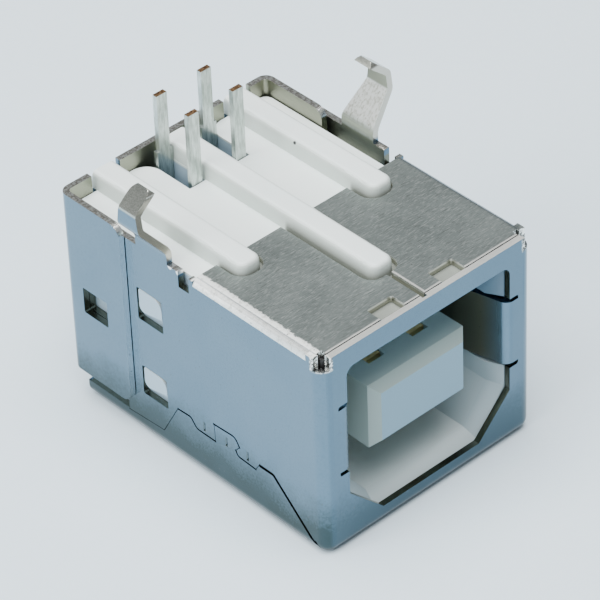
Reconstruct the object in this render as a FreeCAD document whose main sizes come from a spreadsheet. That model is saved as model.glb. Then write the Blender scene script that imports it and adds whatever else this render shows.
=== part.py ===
"""Board-mount type-B socket: a folded sheet-metal shield, a moulded housing and four contacts.

The board side faces up (+Z), the part lies on its flat roof (z = 0) and the plug goes in along +Y.
Sketches measure y from the front face, and each body's placement moves the part's middle to y = 0.
All lengths are millimetres.
"""
import FreeCAD
import Part
import Sketcher
import math
import os
import re

SIZES = [
    # The shield's outer size and its sheet.
    ("width", 12.04, "outside of the two side walls"),
    ("depth", 15.70, "front face to back face"),
    ("height", 10.50, "roof to the top of the flaps"),
    ("seat", 11.00, "roof to the board"),
    ("sheet", 0.30, "thickness of the shield's sheet"),
    ("bend", 0.60, "outside radius of the bends at the roof and the front corners"),
    ("flap_bend", 0.42, "outside radius of the bends into the flaps"),
    ("fold_gap", 0.03, "gap between two layers of sheet that lie on each other"),
    # The front plate.
    ("front_top", 10.47, "top edge of the front plate"),
    ("opening_half", 4.65, "half the opening's width"),
    ("opening_foot", 2.80, "half the width of the opening's lower edge"),
    ("opening_low", 0.95, "lower edge of the opening"),
    ("opening_high", 9.45, "upper edge of the opening"),
    ("opening_corner", 0.45, "radius in the opening's upper corners"),
    ("relief_radius", 0.33, "radius of the hole where three bends would meet"),
    ("relief_inset", 0.20, "centre of that hole from the two faces"),
    ("relief_deep", 0.67, "depth of that hole below the flaps"),
    # The side springs, curled in from the edge of the front plate.
    ("slit", 0.20, "width of the slits above and below a spring"),
    ("slit_end", 5.15, "outer end of the slits"),
    ("spring_low", 4.20, "lower edge of a spring"),
    ("spring_high", 7.50, "upper edge of a spring"),
    ("spring_curl", 0.45, "outside radius of a spring's curl"),
    ("spring_corner", 4.52, "where the spring's run meets the front face"),
    ("spring_touch", 3.88, "inward reach of a spring"),
    ("spring_touch_deep", 2.65, "depth of that point"),
    ("spring_knee", 0.90, "radius of a spring at that point"),
    ("spring_tip", 4.30, "place of a spring's free end"),
    ("spring_tip_deep", 4.10, "depth of a spring's free end"),
    # The flaps over the board side.
    ("flap_back", 7.67, "rear edge of the flaps"),
    ("flap_seam", 0.26, "gap between the two flaps"),
    ("flap_middle", -0.075, "middle of that gap"),
    ("rib_shift", -0.15, "ribs and slots from the middle"),
    ("rib_pitch", 3.735, "side rib from the middle rib"),
    ("slot_pitch", 3.68, "side slot from the middle slot"),
    ("side_slot", 0.825, "half width of a slot for a side rib"),
    ("side_slot_front", 6.17, "front end of that slot"),
    ("middle_slot", 0.925, "half width of the slot for the middle rib"),
    ("middle_slot_front", 2.25, "front end of that slot"),
    ("side_round", 0.74, "radius in the side slots' front corners"),
    ("middle_round", 0.64, "radius in the middle slot's front corners"),
    ("edge_ease", 0.04, "radius where that slot meets the gap"),
    ("notch_ease", 0.10, "radius in the corners of small notches"),
    ("peep_inner", 1.03, "inner side of a notch in a flap's front edge"),
    ("peep_outer", 2.40, "outer side of that notch"),
    ("peep_back", 1.15, "rear edge of that notch"),
    # The side walls.
    ("wall_top", 10.40, "top edge of a side wall behind the flaps"),
    ("nick_front", 7.91, "front side of the nick behind a flap's bend"),
    ("nick_back", 8.55, "rear side of that nick"),
    ("nick_floor", 9.62, "floor of that nick"),
    ("window_front", 9.75, "front edge of the two wall windows"),
    ("window_long", 1.58, "length of the two wall windows"),
    ("upper_window", 6.42, "lower edge of the upper window"),
    ("upper_window_high", 1.68, "height of the upper window"),
    ("lower_window", 2.32, "lower edge of the lower window"),
    ("lower_window_high", 1.53, "height of the lower window"),
    ("window_ease", 0.08, "radius in the corners of the windows"),
    # The dovetail seam between a side wall and the roof's flange.
    ("seam_gap", 0.09, "width of the seam along its open runs"),
    ("seam_hair", 0.03, "width of the seam where its sides touch"),
    ("seam_front_gap", 0.16, "width of the seam's last run to the front corner"),
    ("flange_top", 0.85, "top edge of the roof's flange at the rear"),
    ("seam_low", 2.38, "height of the seam's low runs"),
    ("seam_high", 2.80, "height of the seam's high runs"),
    ("seam_tongue", 3.30, "height of the seam's tallest tongue"),
    ("seam_start", 10.14, "rear end of the dovetails"),
    ("stake_long", 0.50, "length of a stake mark"),
    ("stake_wide", 0.15, "width of a stake mark"),
    ("stake_deep", 0.12, "depth of a stake mark"),
    ("stake_level", 2.74, "height of the stake marks"),
    ("stake_first", 4.77, "front stake mark"),
    ("stake_second", 6.08, "middle stake mark"),
    ("stake_third", 7.46, "rear stake mark"),
    # The board locks.
    ("lock_middle", 10.13, "middle of a lock along the socket"),
    ("lock_neck", 1.30, "width of a lock above its foot"),
    ("lock_end", 1.04, "width of a lock at its end"),
    ("lock_foot_front", 9.22, "front edge of a lock's foot"),
    ("lock_foot_back", 11.17, "rear edge of a lock's foot"),
    ("lock_root", 10.95, "height where a lock leans out"),
    ("lock_bulge", 7.20, "outward reach of a lock"),
    ("lock_bulge_low", 12.42, "height where a lock stands furthest out"),
    ("lock_bulge_high", 13.30, "height where it turns back in"),
    ("lock_tip", 6.25, "outer face of a lock at its end"),
    ("lock_top", 14.12, "end of a lock"),
    ("lock_bend", 0.50, "radius of a lock's lower bends"),
    ("lock_knee", 0.35, "radius of a lock's upper bend"),
    ("lock_round", 0.36, "radius of a lock's end corners"),
    # The back cover.
    ("back_top", 11.00, "top edge of the back cover"),
    ("cover_shift", -0.21, "back cover's notches from the middle"),
    ("ear_right", 5.52, "outside of the right ear, which stands inside the wall"),
    ("back_foot", 4.90, "half the width of the back cover where it leaves the roof"),
    ("ear_front", 11.88, "front edge of an ear"),
    ("ear_low", 1.60, "lower edge of an ear"),
    ("ear_bend", 0.50, "outside radius of the bends into the ears"),
    ("ear_corner", 0.50, "radius of an ear's front corners"),
    ("ear_window_front", 13.00, "front edge of an ear's window"),
    ("ear_window_long", 1.55, "length of an ear's window"),
    ("ear_window", 5.10, "lower edge of an ear's window"),
    ("ear_window_high", 1.33, "height of an ear's window"),
    ("rib_notch", 0.785, "half width of the notches in the back cover's top edge"),
    ("rib_notch_floor", 10.10, "floor of those notches"),
    # The housing.
    ("fit", 0.03, "clearance between the housing and the shield"),
    ("ease", 0.42, "radius of the housing's edges inside the shield's bends"),
    ("shoulder_left", 5.60, "left side of the housing's raised middle"),
    ("shoulder_right", 5.17, "right side of the housing's raised middle"),
    ("shoulder_level", 9.30, "level where the housing steps in"),
    ("cavity_half", 4.225, "half the width of the plug cavity"),
    ("cavity_low", 1.28, "lower side of the plug cavity"),
    ("cavity_high", 9.06, "upper side of the plug cavity"),
    ("cavity_foot", 2.85, "half the width of the cavity's lower side"),
    ("cavity_chamfer", 1.75, "height of the cavity's lower corners"),
    ("cavity_deep", 9.20, "depth of the plug cavity"),
    ("lead_deep", 1.05, "depth where the cavity's bevelled rim ends"),
    ("lead_grow", 0.40, "how far the rim opens at the front"),
    ("tongue_half", 2.75, "half the width of the tongue"),
    ("tongue_low", 3.60, "lower face of the tongue"),
    ("tongue_thick", 3.30, "thickness of the tongue"),
    ("tongue_front", 0.46, "front face of the tongue"),
    ("tongue_nose", 0.40, "bevel round the tongue's front face"),
    ("spring_room_low", 4.00, "lower side of the recess behind a spring"),
    ("spring_room_high", 7.70, "upper side of that recess"),
    ("spring_room_deep", 5.10, "depth of that recess"),
    ("spring_room_half", 5.12, "outward reach of that recess"),
    ("rib_half", 0.64, "half the width of a side rib at its foot"),
    ("rib_front", 6.29, "front end of the side ribs"),
    ("middle_rib_half", 0.64, "half the width of the middle rib at its foot"),
    ("middle_rib_front", 2.37, "front end of the middle rib"),
    ("rib_round", 0.46, "radius in the ribs' front corners"),
    ("rib_slope", 3.0, "slope of the ribs' sides in degrees"),
    ("rib_ease", 0.25, "radius along the top of the ribs"),
    ("channel_half", 0.45, "half the width of a channel for a contact pair"),
    ("channel_flare", 0.85, "radius where a channel opens to the rear"),
    ("bump_gap", 0.12, "gap beside a catch in a wall window"),
    ("bump_drop", 0.42, "gap under a catch in a wall window"),
    ("bump_round", 0.55, "radius of a catch's front corner"),
    ("bump_lead", 0.28, "how much further forward the gap under a catch grows"),
    # The contacts.
    ("pitch", 1.25, "contact from the middle"),
    ("row_inset", 2.90, "front row of tails in front of the back face"),
    ("row_pitch", 2.00, "rear row behind the front row"),
    ("strip_wide", 0.84, "width of a contact on the tongue"),
    ("strip_thick", 0.25, "thickness of a contact"),
    ("strip_sink", 0.03, "contact below the tongue's face"),
    ("strip_front", 2.10, "front end of a contact"),
    ("strip_slot_front", 1.85, "front end of a contact's slot"),
    ("strip_bend", 0.35, "outside radius of a contact's bend"),
    ("strip_play", 0.03, "clearance of a contact in its slot"),
    ("tail_wide", 0.58, "width of a tail"),
    ("tail_top", 13.82, "end of a tail"),
    ("front_shoulder", 9.90, "level where a front tail narrows"),
    ("rear_shoulder", 10.95, "level where a rear tail narrows"),
]

document = FreeCAD.newDocument("Socket")
table = document.addObject("Spreadsheet::Sheet", "Sizes")
for row, (alias, size, meaning) in enumerate(SIZES, start=1):
    table.set(f"A{row}", str(size))
    table.set(f"B{row}", meaning)
    table.setAlias(f"A{row}", alias)
document.recompute()
ALIASES = {alias for alias, size, meaning in SIZES}

FLAT, FRONT, SIDE = "XY_Plane", "XZ_Plane", "YZ_Plane"
SIDES = (1, -1)
UP = FreeCAD.Vector(0, 0, 1)


def bound(text):
    """The expression with each alias read from the sheet."""
    return re.sub(r"[a-z_]+", lambda word: "Sizes." + word[0] if word[0] in ALIASES else word[0], text)


def value(text):
    return float(table.evalExpression(bound(text)))


def new_body(name):
    body = document.addObject("PartDesign::Body", name)
    body.Label = name
    body.setExpression(".Placement.Base.y", bound("-depth / 2"))
    return body


def sketch_on(body, name, plane, start):
    """A sketch on the body's own plane, moved along +X, +Y or +Z by start."""
    sketch = body.newObject("Sketcher::SketchObject", name)
    support = next(item for item in body.Origin.OriginFeatures if item.Role == plane)
    sketch.AttachmentSupport = [(support, "")]
    sketch.MapMode = "FlatFace"
    offset = f"-({start})" if plane == FRONT else f"{start}"
    sketch.setExpression(".AttachmentOffset.Base.z", bound(offset))
    return sketch


def hold(sketch, expression, kind, *where):
    """A dimension that follows an expression."""
    index = sketch.addConstraint(Sketcher.Constraint(kind, *where, value(expression)))
    sketch.setExpression(f"Constraints[{index}]", bound(expression))


def unit(start, end):
    return (end - start).normalize()


def turn_of(before, corner, after):
    """Signed angle by which a path turns at a corner, positive to the left."""
    one = unit(before, corner)
    two = unit(corner, after)
    return math.atan2(one.x * two.y - one.y * two.x, one.dot(two))


def chain(sketch, points, radii, closed):
    """Lines through points with round corners where a radius is over zero. Returns the lines and arcs."""
    count = len(points)
    runs = count if closed else count - 1
    starts = list(points)
    ends = list(points)
    arcs = {}
    for index in range(count) if closed else range(1, count - 1):
        before, corner, after = points[index - 1], points[index], points[(index + 1) % count]
        turn = turn_of(before, corner, after)
        radius = radii[index]
        if radius > 0:
            trim = radius * math.tan(abs(turn) / 2)
            ends[index] = corner - unit(before, corner) * trim
            starts[index] = corner + unit(corner, after) * trim
            side = math.copysign(1, turn)
            run = unit(before, corner)
            centre = ends[index] + FreeCAD.Vector(-run.y, run.x, 0) * radius * side
            first, last = (ends[index], starts[index]) if side > 0 else (starts[index], ends[index])
            angles = [math.atan2(point.y - centre.y, point.x - centre.x) for point in (first, last)]
            if angles[1] < angles[0]:
                angles[1] += 2 * math.pi
            arcs[index] = (Part.ArcOfCircle(Part.Circle(centre, UP, radius), *angles), side)
    lines = []
    for index in range(runs):
        segment = Part.LineSegment(starts[index], ends[(index + 1) % count])
        lines.append(sketch.addGeometry(segment, False))
    rounds = {}
    for index in range(count) if closed else range(1, count - 1):
        before = lines[index - 1]
        after = lines[index % runs]
        if index in arcs:
            arc, side = arcs[index]
            rounds[index] = sketch.addGeometry(arc, False)
            near, far = (1, 2) if side > 0 else (2, 1)
            sketch.addConstraint(Sketcher.Constraint("Tangent", before, 2, rounds[index], near))
            sketch.addConstraint(Sketcher.Constraint("Tangent", rounds[index], far, after, 1))
        else:
            sketch.addConstraint(Sketcher.Constraint("Coincident", before, 2, after, 1))
    return lines, rounds


def split(corners):
    """Positions and radii of corners given as (across, up) or (across, up, radius) expressions."""
    points = [FreeCAD.Vector(value(corner[0]), value(corner[1]), 0) for corner in corners]
    radii = [value(corner[2]) if len(corner) > 2 else 0.0 for corner in corners]
    return points, radii


def pin_corners(sketch, corners, points, lines, rounds):
    """Holds every corner where its expressions say, and each round corner's radius."""
    for index, corner in enumerate(corners):
        if index in rounds:
            mark = sketch.addGeometry(Part.Point(points[index]), True)
            sketch.addConstraint(Sketcher.Constraint("PointOnObject", mark, 1, lines[index - 1]))
            sketch.addConstraint(Sketcher.Constraint("PointOnObject", mark, 1, lines[index % len(lines)]))
            hold(sketch, corner[2], "Radius", rounds[index])
            place = (mark, 1)
        elif index < len(lines):
            place = (lines[index], 1)
        else:
            place = (lines[-1], 2)
        hold(sketch, corner[0], "DistanceX", *place)
        hold(sketch, corner[1], "DistanceY", *place)


def outline(sketch, corners):
    """A closed outline through corners."""
    points, radii = split(corners)
    lines, rounds = chain(sketch, points, radii, True)
    pin_corners(sketch, corners, points, lines, rounds)


def strip(sketch, corners, thickness, side):
    """The section of a bent strip: corners run along one face, the metal lies to the side, 1 left or -1 right."""
    points, radii = split(corners)
    lines, rounds = chain(sketch, points, radii, False)
    pin_corners(sketch, corners, points, lines, rounds)
    normals = [FreeCAD.Vector(-unit(a, b).y, unit(a, b).x, 0) * side for a, b in zip(points, points[1:])]
    thick = value(thickness)
    others = [points[0] + normals[0] * thick]
    other_radii = [0.0]
    changes = {}
    for index in range(1, len(points) - 1):
        bisector = normals[index - 1] + normals[index]
        others.append(points[index] + bisector * (thick / (1 + normals[index - 1].dot(normals[index]))))
        turn = turn_of(points[index - 1], points[index], points[index + 1])
        changes[index] = "-" if turn * side > 0 else "+"
        radius = radii[index] + (thick if changes[index] == "+" else -thick)
        other_radii.append(radius if radii[index] > 0 else 0.0)
    others.append(points[-1] + normals[-1] * thick)
    other_radii.append(0.0)
    other_lines, other_rounds = chain(sketch, others, other_radii, False)
    for line, other in zip(lines, other_lines):
        sketch.addConstraint(Sketcher.Constraint("Parallel", line, other))
        hold(sketch, thickness, "Distance", other, 1, line)
    for index, arc in other_rounds.items():
        hold(sketch, f"({corners[index][2]}) {changes[index]} ({thickness})", "Radius", arc)
    for end, line, other in ((1, lines[0], other_lines[0]), (2, lines[-1], other_lines[-1])):
        ends = (points[0], others[0]) if end == 1 else (points[-1], others[-1])
        cap = sketch.addGeometry(Part.LineSegment(*ends), False)
        sketch.addConstraint(Sketcher.Constraint("Coincident", line, end, cap, 1))
        sketch.addConstraint(Sketcher.Constraint("Coincident", other, end, cap, 2))
        sketch.addConstraint(Sketcher.Constraint("Perpendicular", cap, line))


def rectangle(sketch, left, right, low, high, radius=None):
    corners = [(left, low), (right, low), (right, high), (left, high)]
    outline(sketch, [corner + (radius,) if radius else corner for corner in corners])


def checked(body, feature, adds):
    """Builds a feature and makes sure that it added or took away material."""
    before = feature.BaseFeature.Shape.Volume if feature.BaseFeature else 0.0
    document.recompute()
    change = feature.Shape.Volume - before
    if change * (1 if adds else -1) <= 0:
        raise RuntimeError(f"{body.Label}: {feature.Name} changes nothing")
    return feature


def between(body, kind, name, plane, start, end, draw, slope=None):
    """A Pad or Pocket of what draw puts in a sketch, from start to end along +X, +Y or +Z."""
    sketch = sketch_on(body, name + "Sketch", plane, start)
    draw(sketch)
    feature = body.newObject("PartDesign::" + kind, name)
    feature.Profile = sketch
    feature.setExpression("Length", bound(f"({end}) - ({start})"))
    adds = kind == "Pad"
    feature.Reversed = adds == (plane == FRONT)
    if slope:
        feature.setExpression("TaperAngle", bound(slope))
    return checked(body, feature, adds)


def dress(body, kind, name, size, chosen):
    """A Fillet or Chamfer on the edges of the tip that chosen accepts, given an edge's box."""
    base = body.Tip
    edges = [f"Edge{number}" for number, edge in enumerate(base.Shape.Edges, start=1) if chosen(edge.BoundBox)]
    feature = body.newObject("PartDesign::" + kind, name)
    feature.Base = (base, edges)
    feature.setExpression("Radius" if kind == "Fillet" else "Size", bound(size))
    document.recompute()
    if not edges or not feature.isValid():
        raise RuntimeError(f"{body.Label}: {name} has {len(edges)} edges and failed")
    return feature


def near(one, other):
    return abs(one - other) < 0.005


def hand(side):
    return "Right" if side > 0 else "Left"


def sided(side, text):
    """An expression for the right (1) or left (-1) half."""
    return text if side > 0 else f"-({text})"


def wall_ring(sketch):
    """Roof, side walls and flaps in one section."""
    half = "width / 2"
    for inset, step in (("0", "0"), ("sheet", "sheet")):
        low = f"bend - {step}"
        high = f"flap_bend - {step}"
        outline(sketch, [
            (f"-({half} - {inset})", inset, low),
            (f"{half} - {inset}", inset, low),
            (f"{half} - {inset}", f"height - {inset}", high),
            (f"-({half} - {inset})", f"height - {inset}", high),
        ])


def wall_channel(sketch):
    """Roof and side walls behind the flaps."""
    strip(sketch, [
        ("-width / 2", "wall_top"),
        ("-width / 2", "0", "bend"),
        ("width / 2", "0", "bend"),
        ("width / 2", "wall_top"),
    ], "sheet", 1)


def front_wrap(sketch):
    """Front plate with the bends into the side walls."""
    strip(sketch, [
        ("-width / 2", "bend + sheet"),
        ("-width / 2", "0", "bend"),
        ("width / 2", "0", "bend"),
        ("width / 2", "bend + sheet"),
    ], "sheet", 1)


def roof_bend_section(sketch):
    """Quarter ring where the front plate turns into the roof."""
    centre = FreeCAD.Vector(value("bend"), value("bend"), 0)
    radii = ("bend", "bend - sheet")
    arcs = []
    for radius in radii:
        circle = Part.Circle(centre, UP, value(radius))
        arcs.append(sketch.addGeometry(Part.ArcOfCircle(circle, math.pi, 1.5 * math.pi), False))
    for arc, radius in zip(arcs, radii):
        hold(sketch, "bend", "DistanceX", arc, 3)
        hold(sketch, "bend", "DistanceY", arc, 3)
        hold(sketch, radius, "Radius", arc)
    for end, kind in ((1, "Horizontal"), (2, "Vertical")):
        ends = [sketch.getPoint(arc, end) for arc in arcs]
        line = sketch.addGeometry(Part.LineSegment(*ends), False)
        sketch.addConstraint(Sketcher.Constraint("Coincident", arcs[0], end, line, 1))
        sketch.addConstraint(Sketcher.Constraint("Coincident", arcs[1], end, line, 2))
        sketch.addConstraint(Sketcher.Constraint(kind, line))
        if end == 1:
            hold(sketch, "bend", "DistanceY", line, 1)
        else:
            hold(sketch, "bend", "DistanceX", line, 1)


def corner_patch(body, side):
    """Rounded corner where the front plate, the roof and a side wall meet."""
    name = hand(side) + "Corner"
    sketch = sketch_on(body, name + "Sketch", SIDE, sided(side, "width / 2 - bend"))
    roof_bend_section(sketch)
    ends = [FreeCAD.Vector(value("bend"), level, 0) for level in (0, value("bend"))]
    axis = sketch.addGeometry(Part.LineSegment(*ends), True)
    sketch.addConstraint(Sketcher.Constraint("Vertical", axis))
    hold(sketch, "bend", "DistanceX", axis, 1)
    hold(sketch, "0", "DistanceY", axis, 1)
    hold(sketch, "bend", "DistanceY", axis, 2)
    feature = body.newObject("PartDesign::Revolution", name)
    feature.Profile = sketch
    feature.ReferenceAxis = (sketch, ["Axis0"])
    feature.Angle = 90
    feature.Reversed = side < 0
    return checked(body, feature, True)


def back_foot(sketch):
    """Bend from the roof up into the back cover."""
    strip(sketch, [
        ("depth - bend - sheet", "0"),
        ("depth", "0", "bend"),
        ("depth", "ear_low"),
    ], "sheet", 1)


def back_wrap(sketch):
    """Back cover with its two ears, the left one outside its side wall and the right one inside."""
    left = "-(width / 2 + fold_gap + sheet)"
    strip(sketch, [
        (left, "ear_front"),
        (left, "depth", "ear_bend"),
        ("ear_right", "depth", "ear_bend"),
        ("ear_right", "ear_front"),
    ], "sheet", -1)


def opening(sketch):
    """Plug opening, widened between the slits where the springs are curled in."""
    low = "spring_low - slit"
    high = "spring_high + slit"
    right = [
        ("opening_foot", "opening_low"),
        ("opening_half", "opening_low + opening_half - opening_foot"),
        ("opening_half", low),
        ("slit_end", low, "slit / 2"),
        ("slit_end", high, "slit / 2"),
        ("opening_half", high),
        ("opening_half", "opening_high", "opening_corner"),
    ]
    left = [(f"-{corner[0]}",) + corner[1:] for corner in reversed(right)]
    outline(sketch, right + left)


def springs(sketch):
    """Sections of the two side springs from the front plate to their free ends."""
    for side in SIDES:
        strip(sketch, [
            (sided(side, "slit_end + sheet"), "0"),
            (sided(side, "spring_corner"), "0", "spring_curl"),
            (sided(side, "spring_touch"), "spring_touch_deep", "spring_knee"),
            (sided(side, "spring_tip"), "spring_tip_deep"),
        ], "sheet", -side)


def seam_runs(sketch):
    """Open runs of the dovetail seam, as (depth, height) paths."""
    strip(sketch, [
        ("seam_start - 0.98", "seam_high - 0.03"),
        ("seam_start - 1.85", "seam_high + 0.02", "0.25"),
        ("seam_start - 2.22", "seam_low", "0.25"),
        ("seam_start - 3.40", "seam_low"),
    ], "seam_gap", 1)
    strip(sketch, [
        ("seam_start - 3.26", "seam_tongue"),
        ("seam_start - 4.66", "seam_tongue + 0.08", "0.40"),
        ("seam_start - 4.95", "seam_high + 0.10"),
    ], "seam_gap", 1)
    strip(sketch, [
        ("seam_start - 4.66", "seam_high - 0.12"),
        ("seam_start - 4.80", "seam_low + 0.04", "0.18"),
        ("seam_start - 5.90", "seam_low - 0.02"),
    ], "seam_gap", 1)


def seam_hairs(sketch):
    """Runs of the seam whose two sides touch."""
    runs = [
        (("seam_start + 2.30", "flange_top - 0.05"), ("seam_start", "flange_top + 0.11"),
         ("seam_start - 1.02", "seam_high - 0.02")),
        (("seam_start - 3.36", "seam_low - 0.04"), ("seam_start - 3.31", "seam_tongue + 0.02")),
        (("seam_start - 4.92", "seam_high + 0.14"), ("seam_start - 4.69", "seam_high - 0.15")),
        (("seam_start - 5.84", "seam_low - 0.06"), ("seam_start - 6.14", "seam_high")),
    ]
    for run in runs:
        strip(sketch, run, "seam_hair", 1)


def seam_front(sketch):
    """Last run of the seam, down to the front corner."""
    strip(sketch, [
        ("seam_start - 6.09", "seam_high - 0.04"),
        ("seam_start - 6.98", "seam_high - 0.03", "0.30"),
        ("bend + 0.05", "bend - 0.18"),
    ], "seam_front_gap", 1)


def corner_slit(sketch):
    """The seam's narrow end in the rounded corner."""
    strip(sketch, [
        ("bend + 0.10", "bend"),
        ("bend - 0.10", "bend - 0.30"),
        ("bend - 0.30", "-0.10"),
    ], "seam_gap", 1)


def wall_cuts(sketch):
    """Windows, the nick behind a flap's bend, the slit under an ear and the seam's open runs."""
    for low, high in (("upper_window", "upper_window_high"), ("lower_window", "lower_window_high")):
        rectangle(sketch, "window_front", "window_front + window_long", low, f"{low} + {high}", "window_ease")
    rectangle(sketch, "nick_front", "nick_back", "nick_floor", "height + sheet")
    rectangle(sketch, "seam_start + 2.25", "depth", "flange_top", "ear_low + 0.60")
    seam_runs(sketch)


def ear_window(sketch):
    rectangle(sketch, "ear_window_front", "ear_window_front + ear_window_long",
              "ear_window", "ear_window + ear_window_high", "window_ease")


def stakes(sketch):
    """Chisel marks beside the seam, as triangles seen from above."""
    for side in SIDES:
        face = sided(side, "width / 2")
        floor = sided(side, "width / 2 - stake_deep")
        for place in ("stake_first", "stake_second", "stake_third"):
            corners = [(face, f"{place} - stake_wide / 2"), (face, f"{place} + stake_wide / 2"), (floor, place)]
            outline(sketch, corners)


def lock_sections(sketch):
    """Sections of the board locks, which lean out and back in above the walls."""
    for side in SIDES:
        strip(sketch, [
            (sided(side, "width / 2"), "wall_top - sheet"),
            (sided(side, "width / 2"), "lock_root", "lock_bend"),
            (sided(side, "lock_bulge"), "lock_bulge_low", "lock_bend"),
            (sided(side, "lock_bulge"), "lock_bulge_high", "lock_knee"),
            (sided(side, "lock_tip"), "lock_top"),
        ], "sheet", side)


def lock_trims(sketch):
    """What is cut away in front of and behind a lock, whose end is round."""
    for sign, foot in (("-", "lock_foot_front"), ("+", "lock_foot_back")):
        end = f"lock_middle {sign} lock_end / 2"
        split_line = f"lock_middle {sign} lock_end / 100"
        outline(sketch, [
            (f"{foot} {sign} sheet", "lock_root"),
            (foot, "lock_root"),
            (f"lock_middle {sign} lock_neck / 2", "lock_bulge_low"),
            (end, "lock_bulge_high"),
            (end, "lock_top", "lock_round"),
            (split_line, "lock_top"),
            (split_line, "lock_top + sheet"),
            (f"{foot} {sign} sheet", "lock_top + sheet"),
        ])


def flap_cuts(sketch):
    """Slots for the ribs, with round front ends, joined by the seam between the flaps."""
    end = "flap_back + sheet"
    left, right = "rib_shift - middle_slot", "rib_shift + middle_slot"
    seam_left, seam_right = "flap_middle - flap_seam / 2", "flap_middle + flap_seam / 2"
    outline(sketch, [
        (left, end),
        (left, "middle_slot_front", "middle_round"),
        (seam_left, "middle_slot_front", "edge_ease"),
        (seam_left, "sheet / 2"),
        (seam_right, "sheet / 2"),
        (seam_right, "middle_slot_front", "edge_ease"),
        (right, "middle_slot_front", "middle_round"),
        (right, end),
    ])
    for side in SIDES:
        centre = f"rib_shift + {sided(side, 'slot_pitch')}"
        outline(sketch, [
            (f"{centre} - side_slot", end),
            (f"{centre} - side_slot", "side_slot_front", "side_round"),
            (f"{centre} + side_slot", "side_slot_front", "side_round"),
            (f"{centre} + side_slot", end),
        ])


def peep_notches(sketch):
    for side in SIDES:
        inner = sided(side, "peep_inner")
        outer = sided(side, "peep_outer")
        low, high = (inner, outer) if side > 0 else (outer, inner)
        rectangle(sketch, low, high, "sheet", "peep_back", "notch_ease")


def relief_holes(sketch):
    for side in SIDES:
        centre = FreeCAD.Vector(side * value("width / 2 - relief_inset"), value("relief_inset"), 0)
        hole = sketch.addGeometry(Part.Circle(centre, UP, value("relief_radius")), False)
        hold(sketch, sided(side, "width / 2 - relief_inset"), "DistanceX", hole, 3)
        hold(sketch, "relief_inset", "DistanceY", hole, 3)
        hold(sketch, "relief_radius", "Radius", hole)


def flap_fronts(sketch):
    """Front strip of the flaps, behind the front plate's top edge."""
    half = "(width / 2 - bend)"
    rectangle(sketch, f"-{half}", half, "sheet + fold_gap", "bend + fold_gap")


def back_notches(sketch):
    for side in SIDES:
        centre = f"cover_shift + {sided(side, 'rib_pitch')}"
        rectangle(sketch, f"{centre} - rib_notch", f"{centre} + rib_notch", "rib_notch_floor", "back_top + sheet")


def shield():
    """One folded sheet: front plate, roof, side walls, flaps, board locks, back cover and ears."""
    body = new_body("shield_shell")
    half_bend = "(width / 2 - bend)"
    wide = "(lock_bulge + sheet)"
    between(body, "Pad", "Walls", FRONT, "bend", "flap_back", wall_ring)
    between(body, "Pad", "RearWalls", FRONT, "flap_back", "depth - bend", wall_channel)
    between(body, "Pad", "Front", FLAT, "bend", "front_top", front_wrap)
    between(body, "Pad", "FlapFronts", FLAT, "height - sheet", "height", flap_fronts)
    between(body, "Pad", "RoofBend", SIDE, f"-{half_bend}", half_bend, roof_bend_section)
    for side in SIDES:
        corner_patch(body, side)
        inner, outer = sided(side, "width / 2 - bend"), sided(side, "width / 2 + sheet")
        start, end = (inner, outer) if side > 0 else (outer, inner)
        between(body, "Pocket", hand(side) + "CornerSlit", SIDE, start, end, corner_slit)
    between(body, "Pocket", "Opening", FRONT, "-sheet", "bend", opening)
    between(body, "Pad", "Springs", FLAT, "spring_low", "spring_high", springs)
    between(body, "Pocket", "FlapSlots", FLAT, "height - bend", "height + sheet", flap_cuts)
    between(body, "Pocket", "PeepNotches", FLAT, "height - bend", "height + sheet", peep_notches)
    between(body, "Pocket", "ReliefHoles", FLAT, "height - relief_deep", "height + sheet", relief_holes)
    between(body, "Pocket", "WallCuts", SIDE, f"-{wide}", wide, wall_cuts)
    between(body, "Pocket", "SeamHairs", SIDE, f"-{wide}", wide, seam_hairs)
    between(body, "Pocket", "SeamFront", SIDE, f"-{wide}", wide, seam_front)
    between(body, "Pocket", "Stakes", FLAT, "stake_level - stake_long / 2", "stake_level + stake_long / 2", stakes)
    between(body, "Pad", "BackFoot", SIDE, "-back_foot", "back_foot", back_foot)
    between(body, "Pad", "BackWrap", FLAT, "ear_low", "back_top", back_wrap)
    between(body, "Pocket", "BackNotches", FRONT, "depth - bend", "depth + sheet", back_notches)
    between(body, "Pocket", "EarWindows", SIDE, f"-{wide}", wide, ear_window)
    between(body, "Pad", "Locks", FRONT, "lock_foot_front", "lock_foot_back", lock_sections)
    between(body, "Pocket", "LockTrims", SIDE, f"-{wide}", wide, lock_trims)
    front, top, low = value("ear_front"), value("back_top"), value("ear_low")

    def ear_corners(box):
        level = near(box.ZMin, box.ZMax) and (near(box.ZMin, top) or near(box.ZMin, low))
        return level and near(box.YMin, front) and near(box.YMax, front)

    dress(body, "Fillet", "EarCorners", "ear_corner", ear_corners)
    return body


def cavity_outline(grow):
    """Plug cavity with its two lower corners cut off, opened by grow on every side."""
    def draw(sketch):
        half = f"cavity_half + {grow}"
        foot = f"cavity_foot + {grow} * 0.4"
        low = f"cavity_low - {grow}"
        corner = f"cavity_low + cavity_chamfer - {grow} * 0.4"
        high = f"cavity_high + {grow}"
        outline(sketch, [
            (f"-({foot})", low),
            (foot, low),
            (half, corner),
            (half, high, "opening_corner"),
            (f"-({half})", high, "opening_corner"),
            (f"-({half})", corner),
        ])
    return draw


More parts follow.
